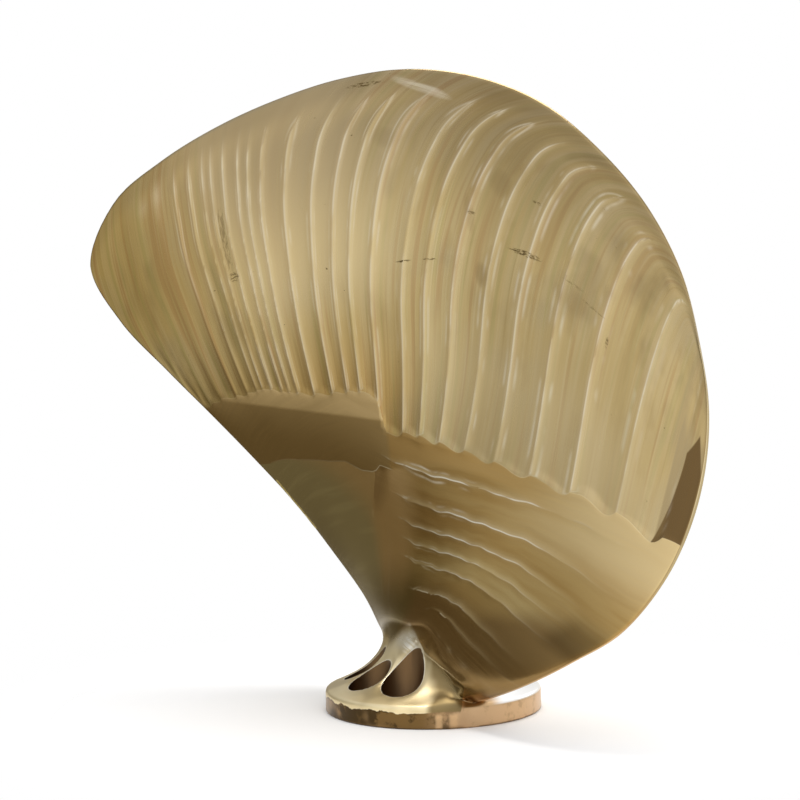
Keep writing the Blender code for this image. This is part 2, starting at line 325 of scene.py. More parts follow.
# How finely the casting is meshed, and the small hand-ground forms about its foot.
castingFinish = {
    "columnStep": 0.0047, "afterStep": 0.0165, "lowRowStep": 0.0060, "highRowStep": 0.0058,
    "rowChange": 0.40,
    "besideCusp": 0.0020,      # a grid line stands this near on both sides of each cusp
    "roundSteps": (0.0, 0.06, 0.2, 0.45, 0.72, 1.0),       # lines over the round of an edge
    "rimRows": 6, "shoulderRows": 5,
    "filletRows": 30, "tipGap": 2e-6,
    "groundRows": 3,           # the ground forms reach this many rows up the blade
    "joinWithin": 1e-5, "sharpAngle": math.radians(38),
    # a ledge near the trailing edge: its height at each place across
    "ledge": ((0.0, 0.494), (0.033, 0.468), (0.113, 0.424), (0.193, 0.392), (0.237, 0.380),
              (0.260, 0.364), (0.280, 0.352), (0.310, 0.344), (0.323, 0.344), (0.337, 0.352),
              (0.397, 0.328)),
    "ledgeDepth": 0.0012, "ledgeEase": 0.008, "ledgeRoot": 0.10, "ledgeEnd": (0.33, 0.36),
    # a crease that leans over from one height up
    "creaseShare": 0.287, "creaseLean": 0.42, "creaseLeansFrom": 0.267, "creaseHeight": 0.0008,
    "creaseWidth": 0.012, "creaseFrom": (0.05, 0.12), "creaseTo": (0.27, 0.34),
    "edgeUncut": 0.014,
    # the ground lip round each pocket, and the lump beside the machined seat
    "lipWidth": 0.017, "lipDepth": 0.005, "lipTop": (0.172, 0.198),
    "beakAt": (0.040, -0.242), "beakReach": (0.042, 0.022), "beakHeight": 0.011,
    "beakEnd": (0.064, 0.072), "beakFoot": 0.03, "beakTop": (0.075, 0.10),
    # how high the ground crown reaches at each place along the shaft, forward side
    "crownTop": ((-0.300, 0.120), (-0.150, 0.125), (-0.115, 0.140), (-0.090, 0.168),
                 (-0.070, 0.194), (-0.054, 0.207), (-0.035, 0.183), (-0.020, 0.161),
                 (0.008, 0.145), (0.040, 0.124), (0.067, 0.106), (0.085, 0.089),
                 (0.099, 0.064), (0.120, 0.050), (0.300, 0.050)),
    "crownTopBehind": 0.16, "crownTurns": (-0.02, 0.06), "crownSquare": 0.8,
    # the machined seat beside the crown: where it starts, and how far it counts as under it
    "machinedFrom": (0.095, 0.110), "machinedDrop": 0.2,
    "ridgeFrom": (-0.055, -0.035), "ridgeTo": (0.070, 0.100), "ridgeHeight": 0.0030,
    "ridgeWidth": 0.010, "ridgeSharpness": 1.5,
}


def afterCusps(flutes=afterFlutes):
    # uneven widths from a seeded draw
    widths = np.random.default_rng(flutes["seed"]).uniform(*flutes["widths"], flutes["count"])
    places = np.cumsum(widths) / widths.sum()
    return np.concatenate(([-0.05], places[:-1], [1.05]))


def stepsBetween(knots, spacing):
    # even steps between each pair of knots, none longer than the spacing
    slack = 1e-9        # keeps a whole number of steps from being rounded up
    counts = np.ceil(np.diff(knots) / spacing - slack).astype(int)
    parts = [np.linspace(a, b, n, endpoint=False)
             for a, b, n in zip(knots[:-1], knots[1:], counts)]
    return np.concatenate(parts + [np.array(knots[-1:])])


def gridSteps(finish=castingFinish, form=castingForm):
    # columns from trailing to leading edge and rows from root to tip, with a line on each cusp
    near = np.array(finish["roundSteps"]) * form["edgeRound"]
    across = near / form["bladeWidth"]
    beside = finish["besideCusp"]
    cusps = [c + k * beside for c in upperFlutes["cusps"] if 0.01 < c < 0.99 for k in (-1, 0, 1)]
    inner = stepsBetween([across[-1]] + cusps + [1 - across[-1]], finish["columnStep"])
    columns = np.concatenate((across[:-1], inner, 1 - across[-2::-1]))
    cusps = [c + k * beside for c in afterCusps()[1:-1] for k in (-1, 0, 1)]
    inner = stepsBetween([across[-1]] + cusps + [1 - across[-1]], finish["afterStep"])
    afterColumns = np.concatenate((across[:-1], inner, 1 - across[-2::-1]))
    lows = [w + k * beside for w in lowerFlutes["cusps"] if 0.001 < w < finish["rowChange"]
            for k in (-1, 0, 1)]
    low = stepsBetween([0.0] + lows + [finish["rowChange"]], finish["lowRowStep"])
    high = stepsBetween([finish["rowChange"], 1 - near[-1]], finish["highRowStep"])
    rows = np.concatenate((low[:-1], high, 1 - near[-2::-1]))
    return columns, afterColumns, np.minimum(rows, 1 - finish["tipGap"])


def footRings(ring, ringAbove, columns, afterColumns, form=castingForm, finish=castingFinish):
    # rings up the rim, round its shoulder, and up the fillet, where each column is a cubic
    # Bezier curve from the shoulder to the blade's root
    near = np.array(form["spreadSteps"]) * form["edgeRound"] / form["bladeWidth"]
    even = np.linspace(0, 1, form["spreadColumns"] + 1)[1:-1]
    known = np.concatenate((near, even, 1 - near[::-1]))
    shares = np.linspace(0, 1, len(known))
    share = np.interp(columns, known, shares)
    afterShare = np.interp(afterColumns, known, shares)
    last = len(columns) - 1
    trailing = math.atan2(ring[0, 1], ring[0, 0])
    leading = math.atan2(ring[last, 1], ring[last, 0]) + 2 * math.pi
    forward = trailing + (leading - trailing) * share
    after = leading + (trailing + 2 * math.pi - leading) * (1 - afterShare[::-1])
    angles = np.concatenate((forward, after[1:-1]))
    out = np.stack((np.cos(angles), np.sin(angles), 0 * angles), -1)
    up = np.array((0.0, 0.0, 1.0))
    heights = np.linspace(form["rimChamfer"], form["rimHeight"], finish["rimRows"])
    turns = np.linspace(0, math.pi / 2 - form["crownSlope"], finish["shoulderRows"])[1:]
    radius = np.concatenate(([form["footRadius"] - form["rimChamfer"]],
                             np.full(len(heights), form["footRadius"]),
                             form["footRadius"] - form["shoulderRadius"] * (1 - np.cos(turns))))
    height = np.concatenate(([0.0], heights,
                             form["rimHeight"] + form["shoulderRadius"] * np.sin(turns)))
    rings = out[None] * radius[:, None, None] + up * height[:, None, None]
    start = rings[-1]
    gap = np.linalg.norm(ring - start, axis=1, keepdims=True)
    crown = -out * math.cos(form["crownSlope"]) + up * math.sin(form["crownSlope"])
    rise = ringAbove - ring
    rise /= np.linalg.norm(rise, axis=1, keepdims=True)
    footHandle = start + crown * gap * form["filletFootPull"]
    bladeHandle = ring - rise * gap * form["filletBladePull"]
    t = np.linspace(0, 1, finish["filletRows"] + 1)[1:-1, None, None]
    fillet = ((1 - t) ** 3 * start + 3 * (1 - t) ** 2 * t * footHandle
              + 3 * (1 - t) * t**2 * bladeHandle + t**3 * ring)
    return np.concatenate((rings, fillet))


boltPockets = {
    "circle": 0.170, "sides": (math.radians(-153.5), math.radians(26.5)),
    "spacing": math.radians(38.5), "radius": 0.052, "top": 0.25, "holeRadius": 0.030,
    "seat": 0.045, "seatRound": 0.004, "mouthChamfer": 0.0015, "cutterSides": 64,
    "margin": 0.02,
}


def pocketCentres(pockets=boltPockets):
    angles = [side + k * pockets["spacing"] for side in pockets["sides"] for k in (-1, 0, 1)]
    return [(pockets["circle"] * math.cos(a), pockets["circle"] * math.sin(a)) for a in angles]


def groundForms(points, footRows, finish=castingFinish, pockets=boltPockets):
    # depth of the hand-ground forms on the foot: a lip that falls away towards each pocket as
    # a square of the distance, a lump with a sharp right end, and a narrow ridge
    x, y, z = points[..., 0], points[..., 1], points[..., 2]
    onFoot = np.zeros(x.shape)
    onFoot[:footRows] = 1
    depth = np.zeros(x.shape)
    for atX, atY in pocketCentres():
        away = np.hypot(x - atX, y - atY) - pockets["radius"]
        near = (1 - np.clip(away / finish["lipWidth"], 0, 1)) ** 2
        near *= 1 - smooth(*finish["lipTop"], z)
        depth = np.maximum(depth, finish["lipDepth"] * near * onFoot)
    (atX, atY), (reachX, reachY) = finish["beakAt"], finish["beakReach"]
    lump = np.exp(-((x - atX) / reachX) ** 2 - ((y - atY) / reachY) ** 2)
    lump *= (1 - smooth(*finish["beakEnd"], x)) * onFoot
    lump *= smooth(0.0, finish["beakFoot"], z) * (1 - smooth(*finish["beakTop"], z))
    ridge = np.clip(1 - np.abs(crownGap(points)) / finish["ridgeWidth"], 0, 1)
    ridge = ridge ** finish["ridgeSharpness"] * (y < 0)
    ridge *= smooth(*finish["ridgeFrom"], x) * (1 - smooth(*finish["ridgeTo"], x))
    return depth - finish["beakHeight"] * lump - finish["ridgeHeight"] * ridge


def crownGap(points, finish=castingFinish):
    # how far each point stands above the ground crown's outline, roughly square to it
    x, y, z = points[..., 0], points[..., 1], points[..., 2]
    front = (z - np.interp(x, *np.transpose(finish["crownTop"]))) * finish["crownSquare"]
    behind = smooth(*finish["crownTurns"], y)
    return front + (z - finish["crownTopBehind"] - front) * behind


def edgeFade(u, v, finish=castingFinish, form=castingForm):
    # nothing is cut within a few millimetres of the blade's edge
    toEdge = np.minimum(np.minimum(u, 1 - u) * form["bladeWidth"], 1 - v)
    return smooth(0.0, finish["edgeUncut"], toEdge)


def forwardCut(u, v, c, w, finish=castingFinish):
    # depth of all that is cut into the forward face: upper flutes over lower ones, a step
    # under the ledge, less a low crease; also how fluted, how far above the ends, and the cusps'
    # painted light
    cut, fluted, endGap, cuspLight = upperCut(u, v, c)
    lower, lowerCuspLight = lowerCut(u, v, w)
    ledge = np.interp(u, *np.transpose(finish["ledge"]))
    below = (smooth(0, finish["ledgeEase"], ledge - v) * smooth(0.0, finish["ledgeRoot"], v)
             * (1 - smooth(*finish["ledgeEnd"], u)))
    lean = finish["creaseLean"] * np.maximum(v - finish["creaseLeansFrom"], 0)
    crease = np.clip(1 - np.abs(u - finish["creaseShare"] - lean) / finish["creaseWidth"], 0, 1)
    crease *= smooth(*finish["creaseFrom"], v) * (1 - smooth(*finish["creaseTo"], v))
    depth = (cut + lower * (1 - fluted) + finish["ledgeDepth"] * below
             - finish["creaseHeight"] * crease)
    return depth * edgeFade(u, v), endGap, v - ledge, cuspLight + lowerCuspLight * (1 - fluted)


def afterCut(s, u, v, flutes=afterFlutes):
    # parabolas between the after face's cusps, above a swaying lower end
    cusps = afterCusps()
    t, width = fluteOf(s, cusps)[1:]
    sway = flutes["sway"] * np.sin(flutes["swayTurns"] * u + 1)
    fade = (smooth(0, flutes["lowestEase"], v - flutes["lowest"] - sway)
            * (1 - smooth(*upperFlutes["upperEnd"], v)))
    height = flutes["steepness"] * width * upperFlutes["chordMetres"] / 4
    return (height * (1 - (2 * t - 1) ** 2) * fade * edgeFade(u, v), fade,
            cuspLightAndShade(s, cusps) * fade[None])


def overAndBack(front, back):
    # rows that run over the forward face and back over the after face
    return np.concatenate((front, back[:, -2:0:-1]), axis=1)


def gridNormals(points):
    # square to the grid's two directions at each point
    across = np.roll(points, -1, axis=1) - np.roll(points, 1, axis=1)
    normals = np.cross(across, np.gradient(points, axis=0))
    return normals / np.maximum(np.linalg.norm(normals, axis=-1, keepdims=True), 1e-9)


def castingSurface(finish=castingFinish, form=castingForm):
    # one closed grid for the whole casting: rings from the foot's underside to the tip edge,
    # each running over the forward face and back over the after face, cut in by the flutes
    columns, afterColumns, rows = gridSteps()
    s, r = np.meshgrid(columns, rows)
    sAfter, rAfter = np.meshgrid(afterColumns, rows)
    u, v = bladeGrid(s, r)
    uAfter, vAfter = bladeGrid(sAfter, rAfter)
    ring = overAndBack(bladeFaces(u, v)[0], bladeFaces(uAfter, vAfter)[1])
    above = overAndBack(*(
        bladeFaces(places[None], np.full((1, len(places)), form["risePlace"]))[face]
        for face, places in enumerate((columns, afterColumns))))
    foot = footRings(ring[0], above[0], columns, afterColumns)
    points, footRows = np.concatenate((foot, ring)), len(foot)

    c, w = fluteMarks(u, v)
    depthForward, endGap, ledgeGap, cuspLight = forwardCut(u, v, c, w)
    depthAfter, backFade, backCuspLight = afterCut(sAfter, uAfter, vAfter)
    depth = groundForms(points, footRows + finish["groundRows"])
    depth[footRows:] += overAndBack(depthForward, depthAfter)
    crown = crownGap(points)
    crown[:footRows] -= finish["machinedDrop"] * smooth(*finish["machinedFrom"],
                                                        points[:footRows, :, 0])
    points = points - gridNormals(points) * depth[..., None]
    points = np.clip(points, *(np.array(corner) for corner in cadBox))

    def whole(front, back, footValue=None):
        # a value for every point of the grid; the foot repeats the blade's lowest row
        upper = overAndBack(front, back)
        lowerPart = upper[:1] if footValue is None else footValue
        return np.concatenate((np.broadcast_to(lowerPart, (footRows, upper.shape[1])), upper))
    ones, zeros = np.ones(u.shape), np.zeros(uAfter.shape)
    filletShare = np.linspace(0, 1, footRows)[:, None] * np.ones(points.shape[1])
    mm = 1000        # the gaps are kept in millimetres
    fields = {
        "fluteUV": (whole(c, sAfter), whole(v, vAfter)),
        "sweepUV": (whole(u, uAfter), whole(w, vAfter)),
        # the after face counts as 20 above or below a flute's end, and far above the ledge
        "endUV": (whole(endGap * mm, 40 * backFade - 20), whole(ledgeGap * mm, zeros + 300)),
        "zoneUV": (whole(ones, zeros), whole(ones, zeros + 1, filletShare)),
        "cuspLightUV": (whole(cuspLight[0], backCuspLight[0], 0.0), whole(cuspLight[1], backCuspLight[1], 0.0)),
        "crownUV": (crown * mm, crown * mm),
    }
    tip = joinedTip(len(points) - 1, points.shape[1], columns, afterColumns)
    return points, fields, tip


def joinedTip(lastRing, size, columns, afterColumns):
    # the blade's tip edge is closed like a zip: every span of one face's edge takes the point
    # of the other face's edge that lies nearest to the middle of that span
    front = lastRing * size + np.arange(len(columns))
    back = lastRing * size + np.concatenate(([0], np.arange(size - 1, len(columns) - 2, -1)))
    frontMiddle = (columns[1:] + columns[:-1]) / 2
    backMiddle = (afterColumns[1:] + afterColumns[:-1]) / 2
    nearBack = back[np.searchsorted(backMiddle, frontMiddle)]
    nearFront = front[np.searchsorted(frontMiddle, backMiddle, side="right")]
    faces = np.concatenate((np.stack((front[:-1], front[1:], nearBack), -1),
                            np.stack((back[1:], back[:-1], nearFront), -1)))
    ordered = np.sort(faces, axis=1)
    return faces[(np.diff(ordered, axis=1) > 0).all(axis=1)]


def ringQuads(count, size):
    # the numbers of a stack of rings' points, and a quad between each two neighbouring rings
    numbers = np.arange(count * size).reshape(count, size)
    turned = np.roll(numbers, -1, axis=1)
    quads = np.stack((numbers[:-1], turned[:-1], turned[1:], numbers[1:]), -1)
    return numbers, quads.reshape(-1, 4)


def addObject(name, data):
    made = bpy.data.objects.new(name, data)
    bpy.context.scene.collection.objects.link(made)
    return made


def addMap(mesh, name, first, second):
    # a UV map with one pair of values for every corner of every face
    pair = np.stack((first, second), -1)
    mesh.uv_layers.new(name=name).uv.foreach_set("vector", pair.astype(np.float32).ravel())


def closedMesh(name, points, fields, tip):
    # quads between neighbouring rings, one face under the foot, and the tip edge's own faces
    numbers, quads = ringQuads(*points.shape[:2])
    mesh = bpy.data.meshes.new(name)
    mesh.from_pydata(points.reshape(-1, 3), [],
                     [numbers[0][::-1].tolist()] + quads.tolist() + tip.tolist())
    corners = np.empty(len(mesh.loops), dtype=np.int32)
    mesh.loops.foreach_get("vertex_index", corners)
    for layerName, (first, second) in fields.items():
        addMap(mesh, layerName, first.ravel()[corners], second.ravel()[corners])
    return mesh


def mergedAndOutward(mesh):
    # points that coincide are joined, and every face is turned outwards
    work = bmesh.new()
    work.from_mesh(mesh)
    bmesh.ops.remove_doubles(work, verts=work.verts, dist=castingFinish["joinWithin"])
    bmesh.ops.recalc_face_normals(work, faces=work.faces)
    work.to_mesh(mesh)
    work.free()
    return mesh


def pocketCutters(pockets=boltPockets):
    # each cutter is a stepped profile turned about its own axis; all six are one mesh
    r, seat, ease = pockets["radius"], pockets["seat"], pockets["seatRound"]
    profile = np.array((
        (pockets["holeRadius"], -pockets["margin"]),
        (pockets["holeRadius"], seat - pockets["mouthChamfer"]),
        (pockets["holeRadius"] + pockets["mouthChamfer"], seat),
        (r - ease, seat), (r - 0.3 * ease, seat + 0.3 * ease), (r, seat + ease),    # a round
        (r, pockets["top"])))
    turn = np.linspace(0, 2 * math.pi, pockets["cutterSides"], endpoint=False)
    ring = np.stack((np.cos(turn), np.sin(turn)), -1)
    count, size = len(profile), len(turn)
    shell = np.zeros((count, size, 3))
    shell[..., :2] = ring[None] * profile[:, None, :1]
    shell[..., 2] = profile[:, 1:]
    numbers, quads = ringQuads(count, size)
    faces, places = [], []
    for number, centre in enumerate(pocketCentres()):
        places.append(shell.reshape(-1, 3) + (*centre, 0))
        start = number * count * size
        faces += (quads + start).tolist()
        faces += [(numbers[0][::-1] + start).tolist(), (numbers[-1] + start).tolist()]
    mesh = bpy.data.meshes.new("pocketCutters")
    mesh.from_pydata(np.concatenate(places), [], faces)
    return mesh


def markPockets(mesh, pockets=boltPockets):
    # every face whose middle lies inside a pocket's circle belongs to its wall, seat or hole
    centres = np.empty(len(mesh.polygons) * 3)
    mesh.polygons.foreach_get("center", centres)
    totals = np.empty(len(mesh.polygons), dtype=np.int32)
    mesh.polygons.foreach_get("loop_total", totals)
    x, y, z = centres.reshape(-1, 3).T
    away = np.min([np.hypot(x - atX, y - atY) for atX, atY in pocketCentres()], axis=0)
    withinWall, overUnderside = pockets["radius"] * 1.001, 0.0005
    inside = (away < withinWall) * (z < pockets["top"]) * (z > overUnderside)
    inside = np.repeat(inside, totals)
    addMap(mesh, "pocketUV", inside, inside)


def cutPockets(mesh):
    # the pockets are cut with an exact Boolean, and the result is kept as a plain mesh
    body = addObject("castingBlank", mesh)
    tool = addObject("pocketTool", mergedAndOutward(pocketCutters()))
    cut = body.modifiers.new("pockets", "BOOLEAN")
    cut.operation, cut.solver, cut.object = "DIFFERENCE", "EXACT", tool
    ready = body.evaluated_get(bpy.context.evaluated_depsgraph_get())
    result = bpy.data.meshes.new_from_object(ready)
    for thing in (body, tool):
        bpy.data.objects.remove(thing)
    return result


points, fields, tip = castingSurface()
blank = mergedAndOutward(closedMesh("bladeBlank", points, fields, tip))
print("casting surface", points.shape[0], "rings of", points.shape[1])
castingMesh = cutPockets(blank)
castingMesh.name = "bladeCasting"
markPockets(castingMesh)
castingMesh.shade_smooth()
castingMesh.set_sharp_from_angle(angle=castingFinish["sharpAngle"])
casting = addObject("bladeCasting", castingMesh)
castingMesh.calc_loop_triangles()
print("pockets cut,", len(castingMesh.loop_triangles), "triangles")


class Wire:
    # one socket of a node tree; arithmetic on it adds Math nodes
    def __init__(self, socket):
        self.socket = socket
        self.tree = socket.id_data

    def node(self, kind, settings, links, out=0):
        return addNode(self.tree, kind, settings, links, out)

    def maths(self, operation, first, second):
        return self.node("ShaderNodeMath", {"operation": operation}, {0: first, 1: second})

    def __add__(self, other): return self.maths("ADD", self, other)
    def __radd__(self, other): return self.maths("ADD", other, self)
    def __sub__(self, other): return self.maths("SUBTRACT", self, other)
    def __rsub__(self, other): return self.maths("SUBTRACT", other, self)
    def __mul__(self, other): return self.maths("MULTIPLY", self, other)
    def __rmul__(self, other): return self.maths("MULTIPLY", other, self)
    def __truediv__(self, other): return self.maths("DIVIDE", self, other)
    def __pow__(self, other): return self.maths("POWER", self, other)


def addNode(tree, kind, settings, links, out=0):
    # any node: its settings first, then a value or a link for each socket named
    made = tree.nodes.new(kind)
    for name, value in settings.items():
        setattr(made, name, value)
    for key, value in links.items():
        if isinstance(value, Wire):
            tree.links.new(value.socket, made.inputs[key])
        else:
            made.inputs[key].default_value = value
    return Wire(made.outputs[out])


def maximum(a, b): return a.maths("MAXIMUM", a, b)
def minimum(a, b): return a.maths("MINIMUM", a, b)
def absolute(a): return a.maths("ABSOLUTE", a, 0.0)


def between(x, low, high):
    # smoothly from 0 at low to 1 at high; low may be the higher number
    return x.node("ShaderNodeMapRange", {"interpolation_type": "SMOOTHSTEP"},
                  {"Value": x, "From Min": low, "From Max": high})


def mixColour(factor, a, b, blend="MIX"):
    # each colour is a wire or three numbers; sockets 6 and 7 take them and socket 2 gives out
    first, second = (c if isinstance(c, Wire) else (*c, 1) for c in (a, b))
    return factor.node("ShaderNodeMix", {"data_type": "RGBA", "blend_type": blend},
                       {0: factor, 6: first, 7: second}, 2)


def noise(vector, scale=1.0, detail=2.0, rough=0.5):
    # a soft cloud of values from 0 to 1
    return vector.node("ShaderNodeTexNoise", {"noise_dimensions": "3D"},
                       {"Vector": vector, "Scale": scale, "Detail": detail,
                        "Roughness": rough})


def pack(x, y):
    # a flat place for a noise
    return x.node("ShaderNodeCombineXYZ", {}, {"X": x, "Y": y})


def split(vector):
    # its three sides
    return [vector.node("ShaderNodeSeparateXYZ", {}, {"Vector": vector}, k) for k in range(3)]


def product(strength, wires, limits):
    # strength times every limit. A limit is a wire's name alone, or its name and two values
    # between which it rises from 0 to 1, or from a floor if that is given too.
    for limit in limits:
        if isinstance(limit, str):
            part = wires[limit]
        else:
            part = between(wires[limit[0]], *limit[1:3])
            for floor in limit[3:]:
                part = part * (1 - floor) + floor
        strength = part * strength
    return strength


def layered(colour, wires, look, layers):
    # paints each layer over the last by the product of its strength and limits; a colour
    # whose name ends in Tone multiplies what is there
    for name, strength, *limits in layers:
        blend = "MULTIPLY" if name.endswith("Tone") else "MIX"
        colour = mixColour(product(strength, wires, limits), colour, look[name], blend)
    return colour


def squares(parts):
    return reduce(Wire.__add__, (part * part for part in parts))


def distance(*parts):
    # the root of the sum of the squares
    return squares(parts) ** 0.5


def oval(inner, *sides):
    # 0 outside an ellipse and 1 within the inner part of it; a side is an offset and a half size
    return between(squares([offset / half for offset, half in sides]), 1.0, inner)


surfaceFields = {
    # what each UV map holds: c and v along the upper flutes, u across and w along the lower
    # ones, in shares of the blade; heights over the flutes' ends, ledge and crown in mm
    "maps": (("fluteUV", "c", "v"), ("sweepUV", "u", "w"), ("endUV", "aboveEnd", "aboveLedge"),
             ("zoneUV", "front", "onBlade"), ("cuspLightUV", "cuspHighlight", "fluteTone"),
             ("crownUV", "aboveCrown", None), ("pocketUV", "inPocket", None)),
    # noises drawn out along the blade: a coordinate and its scale, another and its scale,
    # shift, detail, roughness
    "drawnOut": {
        "streaks": ("c", 34, "v", 1.6, 0, 3.0, 0.6), "thin": ("c", 190, "v", 2.4, 0, 2.0, 0.5),
        "tint": ("c", 75, "v", 1.8, 7, 2.0, 0.5), "smoke": ("c", 12, "v", 4.5, 0, 3.0, 0.55),
        "brownish": ("c", 20, "v", 6.5, 3, 3.0, 0.6), "broad": ("u", 3, "w", 30, 0, 3.0, 0.6),
        "broken": ("u", 9, "v", 9, 0, 2.0, 0.5), "faint": ("u", 14, "v", 11, 5, 2.0, 0.5),
        "scuffed": ("u", 170, "v", 420, 0, 3.0, 0.7), "specks": ("u", 120, "v", 140, 0, 1.0, 0.5),
        "scraped": ("c", 500, "v", 60, 0, 3.0, 0.7), "fineUp": ("c", 420, "v", 5, 0, 2.0, 0.5),
        "fineLow": ("u", 7, "w", 380, 0, 2.0, 0.5)},
    # even noises: scale, detail, roughness
    "even": {"cloud": (3.2, 3.0, 0.55), "stains": (15.0, 5.0, 0.68), "patches": (9.0, 2.0, 0.5),
             "mottle": (34.0, 4.0, 0.6), "soft": (11.0, 1.0, 0.5), "ground": (24.0, 1.0, 0.5),
             "pores": (160.0, 2.0, 0.5), "dents": (26.0, 1.0, 0.5)},
}


def surfaceWires(tree, fields=surfaceFields):
    # the coordinates, fields and noises that the paint is worked out from
    wires = {}
    for uvMap, *names in fields["maps"]:
        sides = split(addNode(tree, "ShaderNodeUVMap", {"uv_map": uvMap}, {}))
        wires.update({name: side for name, side in zip(names, sides) if name})
    place = addNode(tree, "ShaderNodeTexCoord", {}, {}, 3)
    wires["x"], wires["y"], wires["z"] = split(place)
    for name, (first, scale, second, other, shift, *kind) in fields["drawnOut"].items():
        wires[name] = noise(pack(wires[first] * scale + shift, wires[second] * other), 1.0, *kind)
    for name, kind in fields["even"].items():
        wires[name] = noise(place, *kind)
    wires["fluted"] = between(wires["aboveEnd"], 0.0, 1.6)
    wires["plain"] = 1.0 - wires["fluted"]
    wires["behind"] = 1.0 - wires["front"]
    wires["isBlade"] = between(wires["onBlade"], 0.70, 1.0)
    return wires


